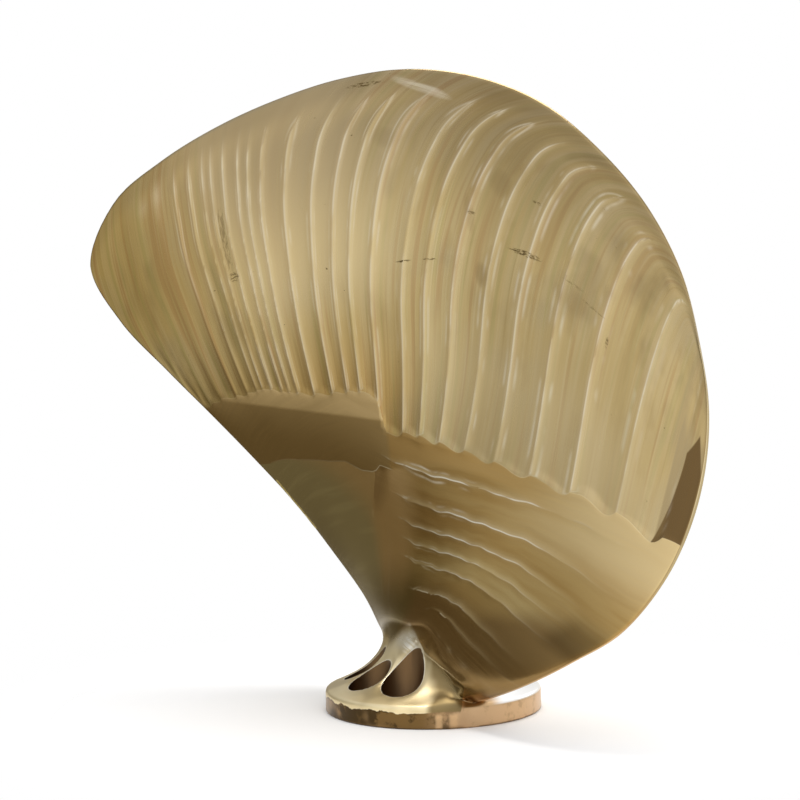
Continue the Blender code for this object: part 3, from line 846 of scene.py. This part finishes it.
# Each look lists its layers in the order that they are painted: colour, strength, limits.
bladeLook = {
    "gold": (0.600, 0.465, 0.225), "goldPale": (0.720, 0.590, 0.350),
    "goldDeep": (0.460, 0.335, 0.150), "goldGrey": (0.520, 0.430, 0.260),
    "goldRed": (0.500, 0.330, 0.155), "goldGreen": (0.500, 0.430, 0.190),
    "burnishAndHighlight": (0.980, 0.930, 0.810), "darkPatch": (0.300, 0.205, 0.095),
    "leftShadeTone": (0.60, 0.57, 0.46), "rightShadeTone": (0.76, 0.74, 0.71),
    "tipShadeTone": (0.63, 0.62, 0.64), "topShadeTone": (0.88, 0.88, 0.90),
    "lowShadeTone": (1.0, 0.88, 0.70), "lowerShadeTone": (0.80, 0.73, 0.63), "toeTone": (0.60, 0.58, 0.55),
    "facet": (0.138, 0.087, 0.036), "facetShadeGrey": (0.330, 0.255, 0.140),
    "lower": (0.450, 0.310, 0.122), "lowerPale": (0.540, 0.405, 0.185),
    "lowerHighlight": (0.620, 0.480, 0.250), "toe": (0.270, 0.175, 0.070),
    "warm": (0.470, 0.310, 0.120), "brown": (0.660, 0.470, 0.240),
    "olive": (0.490, 0.430, 0.250), "olivePale": (0.620, 0.560, 0.340),
    "oliveRootShade": (0.210, 0.155, 0.050),
    "bandShade": (0.400, 0.285, 0.130), "bandSheen": (0.800, 0.610, 0.330),
    "edgeWarmHighlight": (0.700, 0.470, 0.260),
    # fluted gold: streaks, thin lines and tints along the flutes, and clouds of painted reflection
    "fluteLayers": (
        ("goldPale", 0.45, ("streaks", 0.45, 0.66)), ("goldDeep", 0.55, ("streaks", 0.45, 0.28)),
        ("goldGrey", 0.50, ("cloud", 0.50, 0.68)),
        ("goldRed", 0.65, ("tint", 0.55, 0.66), ("u", 0.75, 0.35, 0.70)),
        ("goldGreen", 0.60, ("tint", 0.45, 0.34), ("u", 0.75, 0.35, 0.70)),
        ("goldPale", 0.50, ("thin", 0.56, 0.72), ("u", 0.75, 0.35, 0.70)),
        ("goldDeep", 0.45, ("thin", 0.44, 0.30), ("u", 0.75, 0.35, 0.70)),
        ("tipShadeTone", 0.55, ("smoke", 0.52, 0.68), ("v", 0.50, 0.75)),
        ("goldDeep", 0.35, ("brownish", 0.54, 0.70), ("u", 0.30, 0.50))),
    # soft dark brown patches, and the pale swirl at the top: where, half size, strength
    "darkPatches": ((0.562, 0.681, 0.012, 0.026, 0.5), (0.552, 0.777, 0.008, 0.040, 0.3),
                (0.703, 0.700, 0.035, 0.030, 0.25), (0.600, 0.840, 0.020, 0.030, 0.25),
                (0.460, 0.900, 0.020, 0.020, 0.25), (0.340, 0.700, 0.012, 0.060, 0.25)),
    "swirl": (0.515, 0.9745, 0.040, 0.011), "swirlLean": 0.4,
    # broad painted highlights and painted shade over the whole face, standing in for reflections,
    # then the facet beside the leading edge, painted dark as painted shade
    "toneLayers": (
        ("goldPale", 0.85, ("u", 0.14, 0.26), ("u", 0.50, 0.36), ("v", 0.60, 0.72), "front"),
        ("goldPale", 0.40, ("v", 0.62, 0.50), ("u", 0.42, 0.50), "front"),
        ("leftShadeTone", 1, ("u", 0.24, 0.04), ("v", 0.70, 0.85, 0.6), "front"),
        ("rightShadeTone", 1, ("u", 0.46, 0.62), "front"),
        ("tipShadeTone", 1, ("v", 0.72, 0.94), ("u", 0.05, 0.30), ("u", 0.90, 0.60, 0.5), "front"),
        ("topShadeTone", 1, ("v", 0.955, 0.985), "front"),
        ("lowShadeTone", 1, ("v", 0.66, 0.45), ("u", 0.48, 0.34), "front"),
        ("burnishAndHighlight", 0.30, "swirl", ("curl", 0.30, 0.65), "front"),
        ("facetShadeGrey", 0.85, "besideFacet", "front"),
        ("facet", 1, ("facetCorner", -0.0012, 0.0012), ("facetTop", 0.785, 0.765), "front")),
    "facetEdge": 0.950, "facetFrom": 0.70, "facetLean": 0.33,
    "besideFacet": ((1, ("c", 0.930, 0.936), ("v", 0.78, 0.70)),
                    (0.6, ("c", 0.912, 0.924), ("c", 0.945, 0.926), ("v", 0.60, 0.70))),
    # polished brown below the flutes, with painted shade towards the root, along the lower leading
    # edge and beside the crease, and a painted highlight higher up on the right
    "lowerLayers": (
        ("lowerPale", 1, ("broad", 0.35, 0.65)), ("lowerShadeTone", 1, ("w", 0.17, 0.22)),
        ("toe", 1, ("toeGap", 0.130, 0.060)),
        ("toeTone", 1, ("u", 0.93, 0.965), ("w", 0.12, 0.15), ("w", 0.22, 0.18)),
        ("lowerHighlight", 0.8, ("w", 0.235, 0.300), ("u", 0.62, 0.90)),
        ("brown", 1, ("brownSlant", 0.50, 0.40), ("v", 0.350, 0.335), "front"),
        ("warm", 1, ("v", 0.335, 0.350), ("u", 0.355, 0.375), ("u", 0.85, 0.60), "front"),
        ("toe", 0.50, "rightOfCrease", ("fromCrease", 0.065, 0.010), ("v", 0.24, 0.30),
         "underLedge", "front")),
    # olive on the left, under the ledge
    "oliveLayers": (("olivePale", 0.45, ("waves", 0.53, 0.68)),
                    ("brown", 0.85, ("oliveSlant", 0.150, 0.270))),
    # the ledge's notch and line as painted highlights, painted shade at the root, and the band
    # above painted dark as painted shade, with a painted sheen
    "ledgeLayers": (
        ("goldPale", 0.7, ("offCrease", 0.005, 0.001), ("offNotch", 0.012, 0.002), "front"),
        ("oliveRootShade", 0.85, ("u", 0.15, 0.0), ("v", 0.45, 0.15), "front"),
        ("oliveRootShade", 1, ("v", 0.18, 0.03), ("u", 0.62, 0.50), "front"), ("bandShade", 1, "band"),
        ("bandSheen", 1, ("bandHeight", 0.691, 0.702), ("u", 0.02, 0.10), "sheen", "band"),
        ("burnishAndHighlight", 0.8, ("offLedge", 2.4, 0.6), ("u", 0.03, 0.06), ("u", 0.24, 0.29, 0.375),
         "band")),
    "notchHeight": 0.264, "bandLean": 0.07,
    # painted light: painted shade and highlight across the flutes' walls, painted highlight lines
    # in the flutes, on the cusps and at the flutes' ends, and painted shade by the trailing and
    # leading edges
    "paintedLightLayers": (
        ("goldDeep", 0.46, ("fluteTone", 0.0, -1.0), "calm"),
        ("goldPale", 0.38, ("fluteTone", 0.0, 1.0), "calm"),
        ("burnishAndHighlight", 0.22, "ghost", "fluted", ("u", 0.90, 0.80), "front"),
        ("burnishAndHighlight", 0.55, "ghost", "plain", ("u", 0.64, 0.52), "front"),
        ("burnishAndHighlight", 1, "cuspHighlight", ("broken", 0.32, 0.58), "cuspStrength"),
        ("oliveRootShade", 1, ("u", 0.03, 0.01), ("v", 0.50, 0.42), "behind"),
        ("goldPale", 0.45, ("offEnd", 2.0, 0.3), ("broken", 0.30, 0.6), "front"),
        ("toe", 0.45, ("edgeGap", 11.0, 7.5), "front")),
}


def upperWires(wires, look):
    # shapes on the fluted part: the swirl, and the facet with its slanted corner
    v, u = wires["v"], wires["u"]
    atU, atV, halfU, halfV = look["swirl"]
    fromSwirl = v + (u - atU) * look["swirlLean"] - atV
    beside = [product(strength, wires, limits) for strength, *limits in look["besideFacet"]]
    lean = maximum(v - look["facetFrom"], 0.0) * look["facetLean"]
    return {"curl": noise(pack(u * 25 + v * 30, v * 120 + u * 30)),
            "swirl": oval(0.1, (u - atU, halfU), (fromSwirl, halfV)),
            "besideFacet": minimum(beside[0] + beside[1], 1.0),
            "facetCorner": u - look["facetEdge"] - lean, "facetTop": v + (u - 0.975) * 2.7}


def lowerWires(wires, look, form=castingFinish):
    # shapes below the flutes: slants across and up, and distances from the crease and the
    # ledge. The olive is crisp against the crease at its top and soft lower down.
    v, u, w, front = (wires[n] for n in ("v", "u", "w", "front"))
    lean = maximum(v - form["creaseLeansFrom"], 0.0) * form["creaseLean"]
    fromCrease = u - form["creaseShare"] - lean
    softness = between(v, 0.31, 0.22) * 0.045 + 0.0016
    leftOfCrease = between(fromCrease / softness, 1.0, -1.0) * front
    underLedge = between(wires["aboveLedge"], 1.5, -1.5)
    return {"toeGap": w - between(u, 0.82, 0.95) * 0.085 + (wires["cloud"] - 0.5) * 0.03,
            "brownSlant": u + (v - 0.2) * 0.3, "oliveSlant": u - (0.345 - v) * 0.9,
            "waves": noise(pack(u * 3.5, v * 42 + u * 7)), "fromCrease": fromCrease,
            "offCrease": absolute(fromCrease), "offNotch": absolute(v - look["notchHeight"]),
            "offLedge": absolute(wires["aboveLedge"]), "underLedge": underLedge,
            "rightOfCrease": 1.0 - leftOfCrease, "isOlive": underLedge * leftOfCrease,
            "band": (1.0 - underLedge) * between(u, 0.375, 0.358) * front,
            "bandHeight": wires["z"] + wires["x"] * look["bandLean"],
            "sheen": wires["broad"] * 0.8 + 0.3}


def paintedLightWires(wires):
    # where highlight and shade are painted; the band inside the leading edge, in mm, narrows
    # towards the root
    v, u, fluted, plain = (wires[n] for n in ("v", "u", "fluted", "plain"))
    calm = 1.0 - between(u, 0.35, 0.55) * fluted * 0.45
    offMiddle = absolute(absolute(wires["fluteTone"]) - 0.40)
    width = castingForm["bladeWidth"] * 1000
    return {"calm": calm,
            "ghost": between(offMiddle, 0.20, 0.0) * between(wires["faint"], 0.46, 0.64),
            "cuspStrength": (fluted * (0.22 + calm * 0.24)
                             + plain * (0.12 + between(u, 0.95, 0.60))),
            "offEnd": absolute(wires["aboveEnd"] - 0.8),
            "edgeGap": (1.0 - u) * width * (1.0 + between(v, 0.70, 0.25) * 6.0)}


def bladeColour(wires, look=bladeLook):
    # the forward and after faces: fluted gold above, ground and polished zones below
    wires = {**wires, **upperWires(wires, look), **lowerWires(wires, look), **paintedLightWires(wires)}
    u, v, front = wires["u"], wires["v"], wires["front"]
    gold = layered(look["gold"], wires, look, look["fluteLayers"])
    for atU, atV, halfU, halfV, strength in look["darkPatches"]:
        darkPatch = oval(0.0, (u - atU, halfU), (v - atV, halfV)) * strength * front
        gold = mixColour(darkPatch, gold, look["darkPatch"])
    gold = layered(gold, wires, look, look["toneLayers"])
    low = layered(look["lower"], wires, look, look["lowerLayers"])
    olive = layered(look["olive"], wires, look, look["oliveLayers"])
    low = mixColour(wires["isOlive"], low, olive)
    low = layered(low, wires, look, look["ledgeLayers"])
    blade = layered(mixColour(wires["fluted"], low, gold), wires, look, look["paintedLightLayers"])
    # a painted highlight along the leading edge: pale above, warmer lower down
    edge = mixColour(between(v, 0.55, 0.35), look["goldPale"], look["edgeWarmHighlight"])
    return mixColour(between(wires["edgeGap"], 7.0, 4.0) * front * 0.75, blade, edge)


footLook = {
    "crownPale": (0.880, 0.745, 0.470), "crownMid": (0.350, 0.270, 0.135),
    "crownShade": (0.150, 0.104, 0.044), "burnishAndHighlight": (0.980, 0.930, 0.810),
    "machined": (0.970, 0.950, 0.910), "machinedWarm": (0.700, 0.470, 0.260),
    "rimRose": (0.620, 0.420, 0.250), "rimBrown": (0.180, 0.110, 0.042),
    "stain": (0.055, 0.036, 0.016), "wall": (0.160, 0.100, 0.052),
    # the ragged line over the machined rim: height, rise to the seat, waver, raggedness on
    # the left and elsewhere
    "lineHeight": 0.0405, "lineRise": 0.08, "lineWaver": 0.022, "lineRagged": (0.030, 0.006),
    "rimLights": ((0.012, 0.011), (0.046, 0.013)),       # pale bars on the rim: where, half width
    "highlightAt": (-0.052, -0.090, 0.176),
    # rose-coloured machined metal, darker and browner to the left and just under the ragged line,
    # darker at its foot, with painted highlight bars; the seat on the right has painted shadow
    # beside the lump and a painted white highlight further right
    "rimLayers": (
        ("rimBrown", 1, ("x", 0.10, -0.04)),
        ("stain", 0.9, ("staining", 0.52, 0.62), ("x", 0.10, -0.02)),
        ("machinedWarm", 0.45, ("patches", 0.50, 0.66), ("x", 0.12, -0.02)),
        ("rimBrown", 0.28, ("mottle", 0.52, 0.66)),
        ("stain", 0.85, ("aboveLine", -0.006, 0.0), ("stains", 0.42, 0.54),
         ("x", 0.0, -0.08, 0.30 / 0.85), ("x", 0.078, 0.062)),
        # painted highlight bars on the rim
        ("machinedWarm", 0.75, "bars", ("z", 0.040, 0.030), ("y", -0.1, -0.2)),
        ("rimBrown", 0.6, ("z", 0.006, 0.002), ("stains", 0.35, 0.5)),
        # the seat: painted shadow beside the lump, then a painted white highlight
        ("machinedWarm", 1, "seat"), ("rimBrown", 0.8, "seat", ("x", 0.130, 0.085)),
        ("machined", 1, "seat", ("seatSlant", 0.055, 0.100))),
    # ground gold, pale on the left and painted dark on the right as painted shade, with painted
    # highlights on the pocket lips, a patch, the strokes and the ridge
    "crownLayers": (
        ("crownShade", 1, ("crownSide", -0.020, 0.010), ("y", 0.05, 0.0)),
        ("crownMid", 0.45, ("soft", 0.42, 0.62)),
        ("burnishAndHighlight", 0.7, ("z", 0.145, 0.185), ("y", 0.0, -0.05)),
        ("burnishAndHighlight", 0.6, ("toLip", 0.0028, 0.00112)),
        ("burnishAndHighlight", 1, ("toHighlight", 0.034, 0.012), ("strokes", 0.47, 0.52)),
        ("crownPale", 0.6, ("offRidge", 2.4, 0.6), ("x", -0.045, -0.030), ("x", 0.065, 0.030),
         ("y", 0.0, -0.05))),
}


def footWires(wires, look, pockets=boltPockets):
    # distances from the ragged line, the pockets' lips, the highlight and the ridge
    x, y, z, patches = (wires[n] for n in ("x", "y", "z", "patches"))
    ragged, slow = noise(pack(x, y), 20.0, 5.0, 0.62), noise(pack(x, y), 8.0, 1.0)
    more, least = look["lineRagged"]
    line = (look["lineHeight"] + between(x, 0.062, 0.078) * look["lineRise"]
            + (slow - 0.5) * look["lineWaver"]
            + (ragged - 0.5) * (between(x, -0.02, -0.12) * more + least))
    nearest = reduce(minimum, (distance(x - atX, y - atY) for atX, atY in pocketCentres()))
    toHighlight = distance(*(side - at for side, at in zip((x, y, z), look["highlightAt"])))
    bars = [oval(0.0, (x - at, half)) for at, half in look["rimLights"]]
    return {"aboveLine": z - line, "staining": wires["stains"] + between(x, -0.04, -0.20) * 0.16,
            "bars": bars[0] + bars[1], "seat": between(z, 0.046, 0.050) * between(x, 0.062, 0.078),
            "seatSlant": x + y * 0.35, "crownSide": x + (patches - 0.5) * 0.10,
            "toLip": nearest - pockets["radius"], "toHighlight": toHighlight,
            "strokes": noise(pack((x * 0.5 + z * 0.87) * 150, (x * 0.87 - z * 0.5) * 14)),
            "offRidge": absolute(wires["aboveCrown"] + 2.0)}


def footColour(wires, look=footLook):
    # ground gold down to a ragged line, machined metal below it; also where that metal is
    wires = {**wires, **footWires(wires, look)}
    crown = layered(look["crownPale"], wires, look, look["crownLayers"])
    rim = layered(look["rimRose"], wires, look, look["rimLayers"])
    machined = between(wires["aboveLine"], 0.0010, -0.0010)
    colour = mixColour(machined, crown, rim)
    # the pockets' walls, seats and holes painted dark as painted shade
    return mixColour(wires["inPocket"], colour, look["wall"]), machined


handling = {
    # dark scuffs: where (across, up), half size, strength
    "marks": ((0.447, 0.700, 0.014, 0.0022, 0.9), (0.487, 0.700, 0.013, 0.002, 0.7),
              (0.628, 0.737, 0.028, 0.006, 0.9), (0.650, 0.830, 0.010, 0.003, 0.6),
              (0.555, 0.782, 0.006, 0.006, 0.6), (0.192, 0.768, 0.009, 0.010, 0.6),
              (0.767, 0.678, 0.003, 0.012, 0.6), (0.705, 0.728, 0.022, 0.003, 0.35),
              (0.738, 0.714, 0.024, 0.003, 0.35), (0.448, 0.984, 0.026, 0.004, 0.8)),
    "streakAt": 0.146, "streakHalf": 0.006,       # one long streak along a flute
    # what darkens: strength, limits
    "dark": ((1.15, "marks", ("scuffed", 0.45, 0.56)),
             (0.8, ("specks", 0.78, 0.84), ("v", 0.45, 0.55)),
             (0.5, "streak", ("v", 0.77, 0.80), ("v", 0.885, 0.86), ("scraped", 0.42, 0.58))),
    "scratch": (0.120, 0.085, 0.035),
}


def handlingMarks(wires, look=handling):
    # scuffs inside small ovals, a scatter of specks, and one long streak
    u, v, c = wires["u"], wires["v"], wires["c"]
    marks = sum(oval(0.3, (u - atU, halfU), (v - atV, halfV)) * strength
                for atU, atV, halfU, halfV, strength in look["marks"])
    streak = oval(0.2, (c - look["streakAt"], look["streakHalf"]))
    wires = {**wires, "marks": marks, "streak": streak}
    dark = sum(product(strength, wires, limits) for strength, *limits in look["dark"])
    return minimum(dark, 1.0) * between(wires["onBlade"], 0.98, 1.0)


bronzeFinish = {
    "metallic": 1.0, "roughFluted": 0.24, "roughPolished": 0.19, "roughRim": 0.32,
    "roughCrown": 0.40, "roughRoot": 0.20, "roughMarks": 0.25, "roughLimits": (0.12, 0.8),
    "grain": 0.00006, "grainStrength": 0.20,
}


def cutterLines(wires):
    # fine lines along the upper flutes and across the lower ones, a soft grain on the foot
    line = wires["fineLow"] + (wires["fineUp"] - wires["fineLow"]) * wires["fluted"]
    foot = (wires["ground"] - 0.5) * 0.4 + 0.5
    return foot + (line - foot) * wires["isBlade"]


def bronzeColour(wires, line, dark, look=bladeLook):
    # blade and foot joined along the ground crown's outline, softly on the left, then the
    # marks and the cutter's lines
    x, aboveCrown, inPocket = wires["x"], wires["aboveCrown"], wires["inPocket"]
    foot, machined = footColour(wires)
    # the root painted dark as painted shade where the blade meets the foot, gold behind
    root = layered(look["oliveRootShade"], wires, look,
                   (("toe", 1, ("x", -0.10, -0.04)), ("gold", 1, ("y", -0.02, 0.06))))
    colour = mixColour(wires["isBlade"], root, bladeColour(wires))
    ease = between(x, -0.020, -0.045) * 9.0
    onCrown = between((aboveCrown + (wires["cloud"] - 0.5) * 8 - ease * 0.5) / (ease + 2.0),
                      1.0, -1.0)
    colour = mixColour(maximum(onCrown, inPocket), colour, foot)
    colour = mixColour(dark, colour, handling["scratch"])
    return mixColour((line - 0.5) * 0.30 + 0.125, colour, look["goldPale"],
                     "SOFT_LIGHT"), machined


def bronzeRoughness(wires, line, dark, machined, finish):
    # polished, rougher on the flutes, the foot, the root at the left and the marks
    isBlade, polished, crown = wires["isBlade"], finish["roughPolished"], finish["roughCrown"]
    rough = (polished + wires["fluted"] * (finish["roughFluted"] - polished)
             + (line - 0.5) * 0.18 + (wires["cloud"] - 0.5) * 0.12)
    rough = rough + (1.0 - isBlade) * (crown - polished
                                       + machined * (finish["roughRim"] - crown))
    root = product(finish["roughRoot"], wires, (("u", 0.12, 0.0), ("v", 0.35, 0.10), "isBlade"))
    low, high = finish["roughLimits"]
    return minimum(maximum(rough + root + dark * finish["roughMarks"], low), high)


def bronzeMaterial(finish=bronzeFinish):
    # cast bronze under a cutter and a grinding wheel: fine lines along every flute, polished
    # lower down, handled and darkened here and there, with highlights and shade painted in
    material = bpy.data.materials.new("nickelAluminiumBronze")
    material.use_nodes = True
    tree = material.node_tree
    shader = tree.nodes["Principled BSDF"]
    wires = surfaceWires(tree)
    line, dark, isBlade = cutterLines(wires), handlingMarks(wires), wires["isBlade"]
    colour, machined = bronzeColour(wires, line, dark)
    rough = bronzeRoughness(wires, line, dark, machined, finish)
    height = (line * 0.6 + wires["pores"] * (0.10 + isBlade * 0.30)
              + wires["dents"] * (1.0 - isBlade) * 8.0)
    bump = addNode(tree, "ShaderNodeBump", {}, {
        "Strength": finish["grainStrength"], "Distance": finish["grain"], "Height": height})
    for wire, name in ((colour, "Base Color"), (rough, "Roughness"), (bump, "Normal")):
        tree.links.new(wire.socket, shader.inputs[name])
    shader.inputs["Metallic"].default_value = finish["metallic"]
    return material


castingMesh.materials.clear()
castingMesh.materials.append(bronzeMaterial())
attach(casting, "root")
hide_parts("blade_casting")
print("bronze finished")


studio = {
    "floorRadius": 1.2, "floorFade": 0.8, "floorColour": (0.93, 0.92, 0.90),
    "floorMiddle": 0.2, "floorRings": 12, "floorSides": 96,
    "backdrop": (1.0, 1.0, 1.0), "backdropStrength": 1.0,
    "skyAhead": (0.80, 0.81, 0.82), "skyBehind": (0.60, 0.60, 0.58),
    "skyHigh": (0.95, 0.96, 1.0),
    "groundAhead": (0.82, 0.78, 0.70), "groundBehind": (0.30, 0.25, 0.16),
    # brightness at the left and towards the camera, how far round it grows, and on the right
    "turnLevels": (0.70, 1.70), "turnLast": 0.9, "rightLevel": 1.0,
    # where the sky changes: left to right, ahead to behind, ground to sky, sky to its top
    "leftFade": (0.25, -0.25), "behindFade": (0.16, -0.12), "groundFade": (-0.10, 0.32),
    "highFade": (0.34, 0.60),
    "cameraPlace": (0.0, -5.4856, 1.1260), "yaw": math.radians(-0.704),
    "pitch": math.radians(-3.890), "roll": math.radians(1.1), "focalPixels": 2271.7,
    "picture": 800, "sensor": 36.0,
    # soft boxes: place, what they face, width, height, power
    "boxes": (("top", (0.3, 0.5, 4.6), (0, 0, 0), 2.4, 2.4, 130),
              ("back", (3.6, 3.2, 2.6), (0.2, 0, 0.2), 2.0, 1.6, 15)),
}


def floorMaterial(look=studio):
    # pale matt floor that fades out in a circle
    material = bpy.data.materials.new("paleFloor")
    material.use_nodes = True
    tree = material.node_tree
    tree.nodes.clear()
    place = addNode(tree, "ShaderNodeTexCoord", {}, {}, 3)
    x, y = split(place)[:2]
    fade = between(distance(x, y), look["floorRadius"] - look["floorFade"], look["floorRadius"])
    paint = addNode(tree, "ShaderNodeBsdfDiffuse", {}, {"Color": (*look["floorColour"], 1)})
    clear = addNode(tree, "ShaderNodeBsdfTransparent", {}, {})
    mixed = addNode(tree, "ShaderNodeMixShader", {}, {0: fade, 1: paint, 2: clear})
    out = tree.nodes.new("ShaderNodeOutputMaterial")
    tree.links.new(mixed.socket, out.inputs["Surface"])
    return material


def studioFloor(look=studio):
    # a flat disc: rings of points out from the middle
    turn = np.linspace(0, 2 * math.pi, look["floorSides"], endpoint=False)
    radii = np.linspace(look["floorMiddle"], look["floorRadius"], look["floorRings"])
    ring = np.stack((np.cos(turn), np.sin(turn), 0 * turn), -1)
    points = (radii[:, None, None] * ring[None]).reshape(-1, 3)
    numbers, quads = ringQuads(len(radii), len(turn))
    mesh = bpy.data.meshes.new("paleFloor")
    mesh.from_pydata(points, [], [numbers[0].tolist()] + quads[:, ::-1].tolist())
    mesh.materials.append(floorMaterial())
    return addObject("paleFloor", mesh)


def studioWorld(look=studio):
    # white behind the object; what the metal reflects is a soft sky over a darker ground
    world = bpy.data.worlds.new("studio")
    bpy.context.scene.world = world
    world.use_nodes = True
    tree = world.node_tree
    tree.nodes.clear()
    way = addNode(tree, "ShaderNodeTexCoord", {}, {}, 0)
    x, y, z = split(way)
    # 0 on the left and 1 a quarter turn round from it, towards the camera
    turn = y.maths("ARCTAN2", 0.0 - y, 0.0 - x) * (2 / math.pi)
    left = between(x, *look["leftFade"])
    behind = between(turn, *look["behindFade"]) * left
    ground = mixColour(behind, look["groundAhead"], look["groundBehind"])
    sky = mixColour(behind, look["skyAhead"], look["skyBehind"])
    sky = mixColour(between(z, *look["highFade"]), sky, look["skyHigh"])
    colour = mixColour(between(z, *look["groundFade"]), ground, sky)
    low, high = look["turnLevels"]
    level = low + maximum(minimum(turn, look["turnLast"]), 0.0) * (high - low)
    level = look["rightLevel"] + (level - look["rightLevel"]) * left
    seen = addNode(tree, "ShaderNodeLightPath", {}, {}, 0)
    reflected = addNode(tree, "ShaderNodeBackground", {}, {"Color": colour, "Strength": level})
    plain = addNode(tree, "ShaderNodeBackground", {}, {"Color": (*look["backdrop"], 1),
                                                       "Strength": look["backdropStrength"]})
    mixed = addNode(tree, "ShaderNodeMixShader", {}, {0: seen, 1: reflected, 2: plain})
    out = tree.nodes.new("ShaderNodeOutputWorld")
    tree.links.new(mixed.socket, out.inputs["Surface"])


def studioLights(look=studio):
    # soft rectangular lamps, each turned to face its aim
    for name, place, aim, width, height, power in look["boxes"]:
        light = bpy.data.lights.new(name + "SoftBox", "AREA")
        light.shape, light.size, light.size_y, light.energy = "RECTANGLE", width, height, power
        lamp = addObject(name + "SoftBox", light)
        lamp.location = place
        lamp.rotation_euler = (Vector(aim) - Vector(place)).to_track_quat("-Z", "Y").to_euler()


def studioCamera(look=studio):
    # the photograph's own place and lens, worked out from the foot and the blade's outline
    yaw, pitch, roll = look["yaw"], look["pitch"], look["roll"]
    ahead = np.array((math.sin(yaw) * math.cos(pitch), math.cos(yaw) * math.cos(pitch),
                      math.sin(pitch)))
    right = np.cross(ahead, (0, 0, 1))
    right /= np.linalg.norm(right)
    up = np.cross(right, ahead)
    turnedRight = math.cos(roll) * right - math.sin(roll) * up
    turnedUp = math.cos(roll) * up + math.sin(roll) * right
    data = bpy.data.cameras.new("camera")
    data.sensor_fit, data.sensor_width = "HORIZONTAL", look["sensor"]
    data.lens = look["focalPixels"] / look["picture"] * look["sensor"]
    camera = addObject("camera", data)
    matrix = np.eye(4)
    matrix[:3, :3] = np.stack((turnedRight, turnedUp, -ahead), -1)
    matrix[:3, 3] = look["cameraPlace"]
    camera.matrix_world = Matrix(matrix.tolist())
    bpy.context.scene.camera = camera


floor = studioFloor()
studioWorld()
studioLights()
studioCamera()
bpy.context.scene.view_settings.view_transform = "Standard"
print("studio ready")
